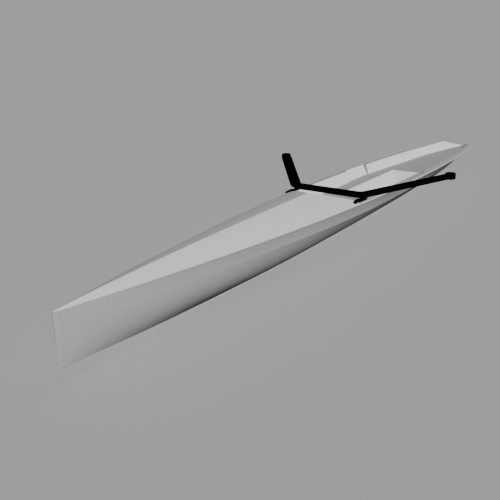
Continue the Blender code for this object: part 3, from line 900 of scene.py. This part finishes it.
@dataclass
class Foredeck:
    """Cambered foredeck with a ridge, and the V of bulkhead below its aft edge.

    Attributes:
        lines: The boat's lines.
        skin: Laminate thickness.
        bow_rows: Closely spaced stations at the stem.
        even_start: First of the evenly spaced stations.
        straight_end: Last station whose row runs straight across.
        outer: Last station of the deck's outer corners.
        inset: How far the deck's edge stays inside the hull's.
        inset_run: Distance behind the stem over which the inset grows.
        rim: Radius of the deck's edge.
        setback: How far the bulkhead stands ahead of the deck's edge.
    """

    lines: Lines
    skin: float = 0.004
    bow_rows: tuple[float, ...] = (0.002, 0.012, 0.034)
    even_start: float = 0.07
    straight_end: float = 2.36
    outer: float = 2.66
    inset: float = 0.0015
    inset_run: float = 0.1
    rim: float = 0.0012
    setback: float = 0.006

    def build(self) -> None:
        """Lay the deck and stand the bulkheads under it."""
        self.deck()
        self.bulkhead()

    def shares(self) -> list[float]:
        """Shares of the half beam, from port sheer to starboard sheer."""
        count = self.lines.deck_points
        return [1 - i / count for i in range(2 * count + 1)]

    def point(self, aft: float, share: float, drop: float = 0.0) -> Vector:
        """A point on the deck.

        Args:
            aft: Distance behind the stem.
            share: Share of the half beam, negative to starboard.
            drop: Distance below the deck's face.

        Returns:
            The point.
        """
        inset = self.inset * min(1.0, aft / self.inset_run)
        beam = HULL.at(aft)["beam"] * self.lines.nose(aft) - inset
        return place(aft, share * beam, self.lines.deck_height(aft, abs(share)) - drop)

    def deck(self) -> None:
        """The deck's face, thickened downwards."""
        loft = Loft("foredeck", DECK_GELCOAT)
        stations = steps(self.even_start, self.straight_end, spacing=0.09)
        for aft in list(self.bow_rows) + stations:
            loft.add([self.point(aft, share) for share in self.shares()])
        beam = HULL.at(self.outer)["beam"]
        for run in (0.25, 0.5, 0.75, 1.0):
            row = []
            for share in self.shares():
                reach = self.lines.edge_of_deck(share * beam) - self.straight_end
                row.append(self.point(self.straight_end + run * reach, share))
            loft.add(row)
        loft.crease_along(self.lines.deck_points)
        deck = loft.finish_piece(Vector((0.0, 0.0, 1.0)))
        thicken(deck, self.skin, self.rim)
        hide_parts("foredeck_port", "foredeck_starboard")

    def bulkhead(self) -> None:
        """The V of bulkhead, set just under the deck's aft edge."""
        beam = HULL.at(self.outer)["beam"]
        loft = Loft("bulkhead", DECK_GELCOAT)
        for share in self.shares()[1:-1]:
            aft = self.lines.edge_of_deck(share * beam) - self.setback
            top = self.point(aft, share, self.skin)
            width = min(abs(top.y), COCKPIT.at(self.outer)["floor"])
            foot = place(aft, width if top.y > 0 else -width, FLOOR_HEIGHT)
            loft.add([top.lerp(foot, i / 4) for i in range(5)])
        bulkhead = loft.finish_piece(Vector((-1.0, 0.0, 0.0)))
        thicken(bulkhead, self.skin)
        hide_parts("bulkhead_port", "bulkhead_starboard")


@dataclass
class SideMoulding:
    """Cockpit wall and side deck of one side, with the shallow recess.

    Attributes:
        side: Which side it is on.
        start: Forward end.
        recess_top: Depth of the recess at the deck's edge.
        skin: Laminate thickness.
        rounding: Largest radius of the deck's inner edge.
        inset: How far the deck's edge stays inside the hull's.
        seam: Length of the step at each end of the recess.
        groove: Width of the groove ahead of the recess, whose shade is painted dark.
    """

    side: Side
    start: float = 2.64
    recess_top: float = 0.027
    skin: float = 0.004
    rounding: float = 0.005
    inset: float = 0.0015
    seam: float = 0.0004
    groove: float = 0.003

    def row(self, aft: float, recess: float) -> Row:
        """Section of the moulding, from the wall's foot to the sheer.

        Args:
            aft: Distance behind the stem.
            recess: One inside the recess, nought elsewhere.

        Returns:
            The row's points.
        """
        hull, room = HULL.at(aft), COCKPIT.at(max(aft, COCKPIT.rows[0][0]))
        foot = Vector((room["floor"] + recess * RECESS_FOOT, FLOOR_HEIGHT - HAIR))
        edge_y = hull["beam"] - room["deck"] + recess * self.recess_top
        edge = Vector((edge_y, hull["sheer"] + room["tilt"]))
        sheer = Vector((hull["beam"] - self.inset, hull["sheer"]))
        room_for_rounding = 0.3 * min((sheer - edge).length, (foot - edge).length)
        radius = min(self.rounding, room_for_rounding)
        below = edge + (foot - edge).normalized() * radius
        inboard = edge + (sheer - edge).normalized() * radius
        points = [foot.lerp(below, i / 4) for i in range(5)]
        points += [rounded(below, edge, inboard, t) for t in (0.25, 0.5, 0.75)]
        points += [inboard.lerp(sheer, i / 3) for i in range(4)]
        return [place(aft, self.side.value * p.x, p.y) for p in points]

    def build(self) -> None:
        """Hang the moulding and thicken it."""
        loft = Loft(f"side_moulding_{self.side.label}", DECK_GELCOAT)
        ahead = steps(self.start, RECESS_START - self.groove, spacing=0.08)
        recessed = steps(RECESS_START, RECESS_END - self.seam, spacing=0.06)
        runs = (
            (ahead + [RECESS_START - self.seam], 0.0), (recessed, 1.0),
            (stations_to_corner(RECESS_END), 0.0), (stations_behind_corner(), 0.0))
        ends = []
        for stations, recess in runs:
            for aft in stations:
                loft.add(self.row(aft, recess))
            ends.append(len(loft.rows) - 1)
        for end in (ends[0], ends[0] + 1, ends[1], ends[1] + 1, ends[2]):
            loft.crease_across(end)
        moulding = loft.finish_piece(Vector((0.0, -self.side.value, 1.0)))
        self.dress_parts(moulding)
        thicken(moulding, self.skin)
        label = self.side.label
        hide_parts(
            f"side_deck_{label}", f"side_tank_fore_{label}",
            f"side_tank_recess_{label}", f"side_tank_aft_{label}")

    def dress_parts(self, moulding: bpy.types.Object) -> None:
        """Paint shade on the seams with a dark finish, and on the level side deck with a darker
        copy of the deck's gelcoat that carries non-slip studs.

        Args:
            moulding: The moulding, before it is thickened.
        """
        moulding.data.materials.append(SEAM_PAINTED_SHADE.material())
        moulding.data.materials.append(SIDE_DECK_GELCOAT_PAINTED_SHADE.material())
        for face in moulding.data.polygons:
            aft = LENGTH / 2 - face.center.x
            on_groove = RECESS_START - self.groove < aft < RECESS_START
            on_step = RECESS_END - self.seam < aft < RECESS_END
            # Groove and step get the dark finish as painted shade.
            if on_groove or on_step:
                face.material_index = 1
            # Level faces get the darker side-deck copy as painted shade.
            elif face.normal.z > LEVEL_NORMAL:
                face.material_index = 2


@dataclass
class SheerBead:
    """Rubbing strip along one side, over the joint of hull and deck.

    Attributes:
        side: Which side it is on.
        start, end: Its ends, behind the stem.
        even_start: First of the evenly spaced stations.
        width, height: Its oval section.
        proud: How far it stands out from the hull.
        above: How far it stands up over the deck's edge.
        full_beam: Half beam below which it gets narrower.
        corners: Corners of its section.
    """

    side: Side
    start: float = 0.03
    even_start: float = 0.07
    end: float = 5.76
    width: float = 0.008
    height: float = 0.010
    proud: float = 0.0008
    above: float = 0.0015
    full_beam: float = 0.02
    corners: int = 12

    def build(self) -> None:
        """Bend the strip's oval section along the sheer."""
        loft = Loft(f"sheer_bead_{self.side.label}", STRIP_RUBBER, closed=True)
        for aft in [self.start] + steps(self.even_start, self.end, spacing=0.09):
            hull = HULL.at(aft)
            size = min(1.0, hull["beam"] / self.full_beam)
            out = hull["beam"] - self.width / 2 + self.proud
            up = hull["sheer"] - self.height / 2 + self.above
            row = []
            for turn in turns(self.corners):
                y = out + size * self.width / 2 * cos(turn)
                z = up + self.height / 2 * sin(turn)
                row.append(place(aft, self.side.value * y, z))
            loft.add(row)
        loft.cap()
        bead = loft.finish_piece()
        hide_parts(f"sheer_strip_{self.side.label}")


@dataclass
class FloorMoulding:
    """Cockpit floor with its footwell pressed in one sheet.

    Attributes:
        lines: The boat's lines.
        start: First station whose row runs straight across.
        well_start, well_end: Forward and aft edge of the footwell.
        well_lead: Distance ahead of the footwell that keeps its width.
        well_half: Half width of the footwell.
        middle: Largest share of the half width in the floor's middle.
        depth: Depth of the footwell.
        side_slope: Lean of the footwell's sides from upright.
        ramp_slope: Slope of the heel ramp.
        front_lean: How far the footwell's front leans in.
        skin: Laminate thickness.
        rounding: Radius of the footwell's edges.
        tuck: How far the floor reaches under the foredeck.
    """

    lines: Lines
    start: float = 2.69
    well_start: float = 3.25
    well_end: float = 4.32
    well_lead: float = 0.2
    well_half: float = 0.135
    middle: float = 0.6
    depth: float = 0.130
    side_slope: float = radians(12.0)
    ramp_slope: float = radians(38.0)
    front_lean: float = 0.01
    skin: float = 0.004
    rounding: float = 0.003
    tuck: float = 0.01

    def outer_half(self, aft: float) -> float:
        """Half width of the floor, tucked under the wall's foot.

        Args:
            aft: Distance behind the stem.

        Returns:
            The half width.
        """
        room = COCKPIT.at(max(aft, COCKPIT.rows[0][0]))
        recess = RECESS_FOOT if RECESS_START <= aft < RECESS_END else 0.0
        return room["floor"] + recess + HAIR

    def build(self) -> None:
        """Lay the floor, then press in the footwell."""
        loft = Loft("cockpit_floor", FLOOR_GELCOAT_PAINTED_SHADE)
        shares = [-1.0, -0.5, 0.5, 1.0]
        stations = steps(self.start, self.well_start, spacing=0.1)
        stations += steps(self.well_start, self.well_end, spacing=0.09)[1:]
        stations += steps(self.well_end, TIP_START, spacing=0.09)[1:]
        loft.add(self.front_row(shares))
        for aft in stations:
            loft.add([place(aft, self.across(aft, share), FLOOR_HEIGHT) for share in shares])
        self.close_front(loft)
        self.press_well(loft)
        floor = loft.finish_piece(Vector((0.0, 0.0, 1.0)), crease=FACETED_ANGLE)
        # Faces below the floor, in the well, take the lighter copy of the floor's gelcoat as
        # painted light.
        floor.data.materials.append(WELL_GELCOAT_PAINTED_LIGHT.material())
        for face in floor.data.polygons:
            if face.center.z < FLOOR_HEIGHT - HAIR:
                face.material_index = 1
        thicken(floor, self.skin, self.rounding)
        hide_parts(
            "floor_seat", "floor_beside_well_port", "floor_beside_well_starboard",
            "floor_stern", "well_base", "well_front", "well_heel_ramp", "well_side_port",
            "well_side_starboard")

    def across(self, aft: float, share: float) -> float:
        """Y of a line of the floor at a station.

        Args:
            aft: Distance behind the stem.
            share: Minus one to one; a half is the line of the well's side.

        Returns:
            The Y.
        """
        outer = self.outer_half(aft)
        if abs(share) == 1.0:
            return share * outer
        near_well = self.well_start - self.well_lead < aft <= self.well_end
        inner = self.well_half if near_well else min(self.well_half, outer * self.middle)
        return inner if share > 0 else -inner

    def front_row(self, shares: Sequence[float]) -> Row:
        """Row of the floor that follows the bulkhead's V.

        Args:
            shares: The floor's lines, as across takes them.

        Returns:
            The row's points.
        """
        row = []
        for share in shares:
            y = self.across(COCKPIT.rows[0][0], share)
            row.append(place(self.lines.edge_of_deck(y) - self.tuck, y, FLOOR_HEIGHT))
        return row

    def close_front(self, loft: Loft) -> None:
        """Fill the floor's middle up to the apex of the bulkhead's V.

        Args:
            loft: The floor.
        """
        aft = self.lines.edge_of_deck(0.0) - self.tuck
        apex = loft.work.verts.new(place(aft, 0.0, FLOOR_HEIGHT))
        loft.work.faces.new((loft.rows[0][1], loft.rows[0][2], apex))

    def press_well(self, loft: Loft) -> None:
        """Push the middle of the floor down into a tapered well.

        Args:
            loft: The floor.
        """
        inside = []
        for face in loft.work.faces:
            centre = face.calc_center_median()
            aft = LENGTH / 2 - centre.x
            if self.well_start < aft < self.well_end and abs(centre.y) < self.well_half:
                inside.append(face)
        pressed = bmesh.ops.extrude_face_region(loft.work, geom=inside)
        bmesh.ops.delete(loft.work, geom=inside, context="FACES")
        front_foot = self.well_start + self.front_lean
        ramp_foot = self.well_end - self.depth / tan(self.ramp_slope)
        narrow = self.depth * tan(self.side_slope)
        for vert in (item for item in pressed["geom"] if isinstance(item, Vert)):
            aft = LENGTH / 2 - vert.co.x
            share = (aft - self.well_start) / (self.well_end - self.well_start)
            vert.co.x = LENGTH / 2 - (front_foot + share * (ramp_foot - front_foot))
            vert.co.y *= (self.well_half - narrow) / self.well_half
            vert.co.z -= self.depth


@dataclass
class Wing:
    """Wing rigger: one oval tube bent at two elbows, on two feet.

    Attributes:
        bar_aft, bar_height: Station and height of the crossbar.
        corner_half: Half span between the elbows.
        tip_aft, tip_half, tip_height: Place of the arms' tips.
        chord: Width of the tube's oval section.
        thickness, tip_thickness: Depth of the section at the bar and at a tip.
        bend: Distance from an elbow's corner to the ends of its curve.
        tube_corners, foot_corners: Corners of the sections.
        boss_radius, boss_height, boss_rim: Size of a boss and of its rounding.
        tube_stop: Distance of the tube's end from a boss's centre, in its radii.
        squareness: Exponent that fills out a foot's section; one is an oval.
        foot_fall: How much a foot's top falls outboard.
        pad_aft, pad_half, pad_size: Place and size of a pad.
        pad_slope: Share of the beam over which the deck's slope is taken.
        pad_gap: How far a pad stays above the deck.
        pad_corner, pad_rim: Radii of a pad's corners and of its top edge.
    """

    bar_aft: float = 2.748
    corner_half: float = 0.303
    bar_height: float = 0.279
    tip_aft: float = 3.348
    tip_half: float = 0.792
    tip_height: float = 0.375
    chord: float = 0.094
    thickness: float = 0.048
    tip_thickness: float = 0.044
    bend: float = 0.045
    tube_corners: int = 32
    foot_corners: int = 24
    boss_radius: float = 0.042
    boss_height: float = 0.050
    boss_rim: float = 0.007
    tube_stop: float = 0.6
    squareness: float = 0.4
    foot_fall: float = 0.003
    pad_aft: float = 2.632
    pad_half: float = 0.311
    pad_size: tuple[float, float, float] = (0.044, 0.022, 0.004)
    pad_slope: float = 0.1
    pad_gap: float = 0.0005
    pad_corner: float = 0.008
    pad_rim: float = 0.0012

    def build(self, lines: Lines) -> None:
        """Bend the tube, then fit its bosses, feet and pads.

        Args:
            lines: The boat's lines, for the deck under the feet.
        """
        self.tube()
        for side in Side:
            self.boss(side)
            self.foot(side, lines)
            self.pad(side, lines)

    def corner(self, side: Side) -> Vector:
        """Centre of an elbow."""
        return place(self.bar_aft, side.value * self.corner_half, self.bar_height)

    def tip(self, side: Side) -> Vector:
        """Centre of an arm's tip."""
        return place(self.tip_aft, side.value * self.tip_half, self.tip_height)

    def path(self) -> list[Vector]:
        """Centreline of the tube.

        Returns:
            Its points, from the starboard tip to the port tip.
        """
        corner, tip = self.corner(Side.PORT), self.tip(Side.PORT)
        along = (tip - corner).normalized()
        enter = corner - Vector((0.0, self.bend, 0.0))
        leave = corner + along * self.bend
        end = tip - along * (self.boss_radius * self.tube_stop)
        half = [place(self.bar_aft, 0.0, self.bar_height)]
        half += [rounded(enter, corner, leave, i / 8) for i in range(9)]
        half += [leave.lerp(end, 0.5), end]
        mirror = [Vector((p.x, -p.y, p.z)) for p in reversed(half[1:])]
        return mirror + half

    def tube(self) -> None:
        """Sweep the oval along the path."""
        path = self.path()
        loft = Loft("wing_tube", WING_CARBON, closed=True)
        for i, centre in enumerate(path):
            ahead = path[min(i + 1, len(path) - 1)]
            behind = path[max(i - 1, 0)]
            along = (ahead - behind).normalized()
            level = along.cross(Vector((0.0, 0.0, 1.0))).normalized()
            upward = level.cross(along)
            out = max(0.0, abs(centre.y) - self.corner_half) / (self.tip_half - self.corner_half)
            deep = self.thickness + (self.tip_thickness - self.thickness) * out
            row = []
            for turn in turns(self.tube_corners):
                sideways = level * cos(turn) * self.chord / 2
                row.append(centre + sideways + upward * sin(turn) * deep / 2)
            loft.add(row)
        loft.cap()
        tube = loft.finish_piece()
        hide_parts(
            "wing_crossbar", "wing_elbow_port", "wing_elbow_starboard",
            "wing_arm_port", "wing_arm_starboard")

    def boss(self, side: Side) -> None:
        """Upright boss at an arm's tip, with a rounded rim.

        Args:
            side: Which side it is on.
        """
        work = bmesh.new()
        bmesh.ops.create_cone(
            work, cap_ends=True, segments=48, radius1=self.boss_radius,
            radius2=self.boss_radius, depth=self.boss_height)
        rims = [edge for edge in work.edges if height_span(edge) < HAIR]
        round_edges(work, rims, self.boss_rim, segments=5)
        bmesh.ops.translate(work, vec=self.tip(side), verts=work.verts)
        boss = dress(f"wing_boss_{side.label}_moulded", work, FITTING_BLACK)
        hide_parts(f"wing_boss_{side.label}")

    def filled_out(self, share: float) -> float:
        """A sine or cosine brought nearer to one, which squares an oval."""
        return copysign(abs(share) ** self.squareness, share)

    def foot(self, side: Side, lines: Lines) -> None:
        """Foot from its pad, over the side deck, to the underside of the elbow.

        Args:
            side: Which side it is on.
            lines: The boat's lines.
        """
        loft = Loft(f"wing_strut_{side.label}", WING_CARBON, closed=True)
        for aft in steps(FOOT.rows[0][0], FOOT.rows[-1][0], spacing=0.006):
            shape = FOOT.at(aft)
            row = []
            for turn in turns(self.foot_corners):
                across = 0.5 + 0.5 * self.filled_out(cos(turn))
                upward = 0.5 + 0.5 * self.filled_out(sin(turn))
                y = shape["inner"] + (shape["outer"] - shape["inner"]) * across
                low = lines.height_under_foot(aft, y) + shape["clearance"]
                top = shape["top"] - self.foot_fall * across
                row.append(place(aft, side.value * y, low + (top - low) * upward))
            loft.add(row)
        loft.cap()
        strut = loft.finish_piece()
        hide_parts(f"wing_foot_{side.label}")

    def pad(self, side: Side, lines: Lines) -> None:
        """Moulded pad under a foot.

        Args:
            side: Which side it is on.
            lines: The boat's lines.
        """
        beam = HULL.at(self.pad_aft)["beam"]
        share = self.pad_half / beam
        inner, middle, outer = (
            lines.deck_height(self.pad_aft, share + shift * self.pad_slope)
            for shift in (-0.5, 0.0, 0.5))
        fall = atan2(inner - outer, self.pad_slope * beam)
        tilt = Matrix.Rotation(-side.value * fall, 4, "X")
        deck = Matrix.Translation(place(self.pad_aft, side.value * self.pad_half, middle))
        lift = Matrix.Translation((0.0, 0.0, self.pad_size[2] / 2 + self.pad_gap))
        work = bmesh.new()
        bmesh.ops.create_cube(work, size=1.0)
        bmesh.ops.scale(work, vec=self.pad_size, verts=work.verts)
        upright = [edge for edge in work.edges if height_span(edge) > HAIR]
        round_edges(work, upright, self.pad_corner, segments=6)
        top = [edge for edge in work.edges if min(vert.co.z for vert in edge.verts) > HAIR]
        round_edges(work, top, self.pad_rim, segments=3)
        bmesh.ops.transform(work, matrix=deck @ tilt @ lift, verts=work.verts)
        pad = dress(f"wing_pad_{side.label}_moulded", work, FITTING_BLACK)
        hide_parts(f"wing_pad_{side.label}")


@dataclass
class Studio:
    """Plain pale floor and backdrop, soft light and the camera.

    Attributes:
        floor_height: Height of the floor, just under the keel.
        key_from: Direction the soft key light comes from.
        key_strength: Key light in watts per square metre.
        back_from: Direction of the weaker light on the far side.
        back_strength: Its strength, in the same measure.
        softness: Angle in degrees that each light spans.
        fill: Strength of the even fill from all round.
        paper: Albedo of the floor.
        paper_vary: Share of the albedo in the floor's darker clouds.
        sky: Tone of the dome, the same as the lit floor's.
        floor_radius, dome_radius: How far the studio reaches.
        eye, right, up: Place of the camera and its axes.
        lens: Focal length in millimetres.
        sensor: Width of the camera's sensor in millimetres.
    """

    floor_height: float = -0.150
    key_from: tuple[float, float, float] = (0.50, 0.68, 0.54)
    key_strength: float = 5.6
    back_from: tuple[float, float, float] = (-0.30, -0.84, -0.45)
    back_strength: float = 2.4
    softness: float = 12.0
    fill: float = 0.004
    paper: float = 0.40
    paper_vary: float = 0.985
    sky: float = 0.380
    floor_radius: float = 60.0
    dome_radius: float = 58.0
    eye: tuple[float, float, float] = (4.8005, 2.553, 1.5914)
    right: tuple[float, float, float] = (-0.5878, 0.8088, -0.0185)
    up: tuple[float, float, float] = (-0.2779, -0.1804, 0.9435)
    lens: float = 47.07
    sensor: float = 36.0

    def build(self) -> None:
        """Set up the floor, the light and the camera."""
        self.floor()
        self.dome()
        self.sun("key", self.key_from, self.key_strength)
        self.sun("far_side", self.back_from, self.back_strength)
        self.even_fill()
        self.camera()

    def floor(self) -> None:
        """A wide, plain floor."""
        work = bmesh.new()
        bmesh.ops.create_circle(work, cap_ends=True, segments=96, radius=self.floor_radius)
        bmesh.ops.translate(work, vec=(0.0, 0.0, self.floor_height), verts=work.verts)
        finish = Finish(
            "studio_paper", "", (self.paper,) * 3, (self.paper * self.paper_vary,) * 3, 0.9, 0.95,
            cloud_scale=0.3, specular=0.0)
        self.put_up("studio_floor", work, finish.material())

    def dome(self) -> None:
        """A dome all round in the floor's tone, whichever way the camera looks."""
        glow = bpy.data.materials.new("studio_dome")
        glow.use_nodes = True
        glow.cycles.emission_sampling = "NONE"
        shader = glow.node_tree.nodes["Principled BSDF"]
        set_inputs(shader, {
            "Base Color": (0.0, 0.0, 0.0, 1.0), "Specular IOR Level": 0.0,
            "Emission Color": (self.sky, self.sky, self.sky, 1.0), "Emission Strength": 1.0})
        work = bmesh.new()
        bmesh.ops.create_icosphere(work, subdivisions=4, radius=self.dome_radius)
        self.put_up("studio_backdrop", work, glow)

    def put_up(self, name: str, work: Mesh, material: bpy.types.Material) -> None:
        """Put up a piece of the studio that sends no light back to the boat.

        Args:
            name: Name of the piece.
            work: Its mesh, which is freed.
            material: What covers it.
        """
        made = add_object(name, work, material)
        made.visible_diffuse = False
        made.visible_glossy = False
        made.visible_shadow = False

    def sun(self, name: str, source: tuple[float, float, float], strength: float) -> None:
        """A soft light from far off, without hard shadows.

        Args:
            name: Name of the light.
            source: Direction it comes from.
            strength: Strength in watts per square metre.
        """
        data = bpy.data.lights.new(name, "SUN")
        data.energy = strength
        data.angle = radians(self.softness)
        data.use_shadow = False
        sun = bpy.data.objects.new(name, data)
        sun.rotation_mode = "QUATERNION"
        sun.rotation_quaternion = Vector(source).to_track_quat("Z", "Y")
        bpy.context.scene.collection.objects.link(sun)

    def even_fill(self) -> None:
        """A faint white light from all round."""
        world = bpy.data.worlds.new("sky")
        world.use_nodes = True
        sky = world.node_tree.nodes["Background"]
        set_inputs(sky, {"Color": (1.0, 1.0, 1.0, 1.0), "Strength": self.fill})
        bpy.context.scene.world = world

    def camera(self) -> None:
        """Camera at the picture's place, looking the same way."""
        data = bpy.data.cameras.new("camera")
        data.lens = self.lens
        data.sensor_width = self.sensor
        data.clip_end = 5.0 * self.floor_radius
        camera = bpy.data.objects.new("camera", data)
        right, up = Vector(self.right).normalized(), Vector(self.up).normalized()
        back = right.cross(up).normalized()
        turn = Matrix((right, up, back)).transposed()
        camera.matrix_world = Matrix.Translation(Vector(self.eye)) @ turn.to_4x4()
        bpy.context.scene.collection.objects.link(camera)
        bpy.context.scene.camera = camera


def main() -> None:
    """Build the boat's looks piece by piece, then the studio."""
    logging.basicConfig(level=logging.INFO, format="%(name)s: %(message)s")
    lines = Lines()
    HullShell(lines).build()
    SternTip(lines).build()
    Foredeck(lines).build()
    for side in Side:
        SideMoulding(side).build()
        SheerBead(side).build()
    FloorMoulding(lines).build()
    Wing().build(lines)
    Studio().build()


if __name__ == "__main__":
    main()
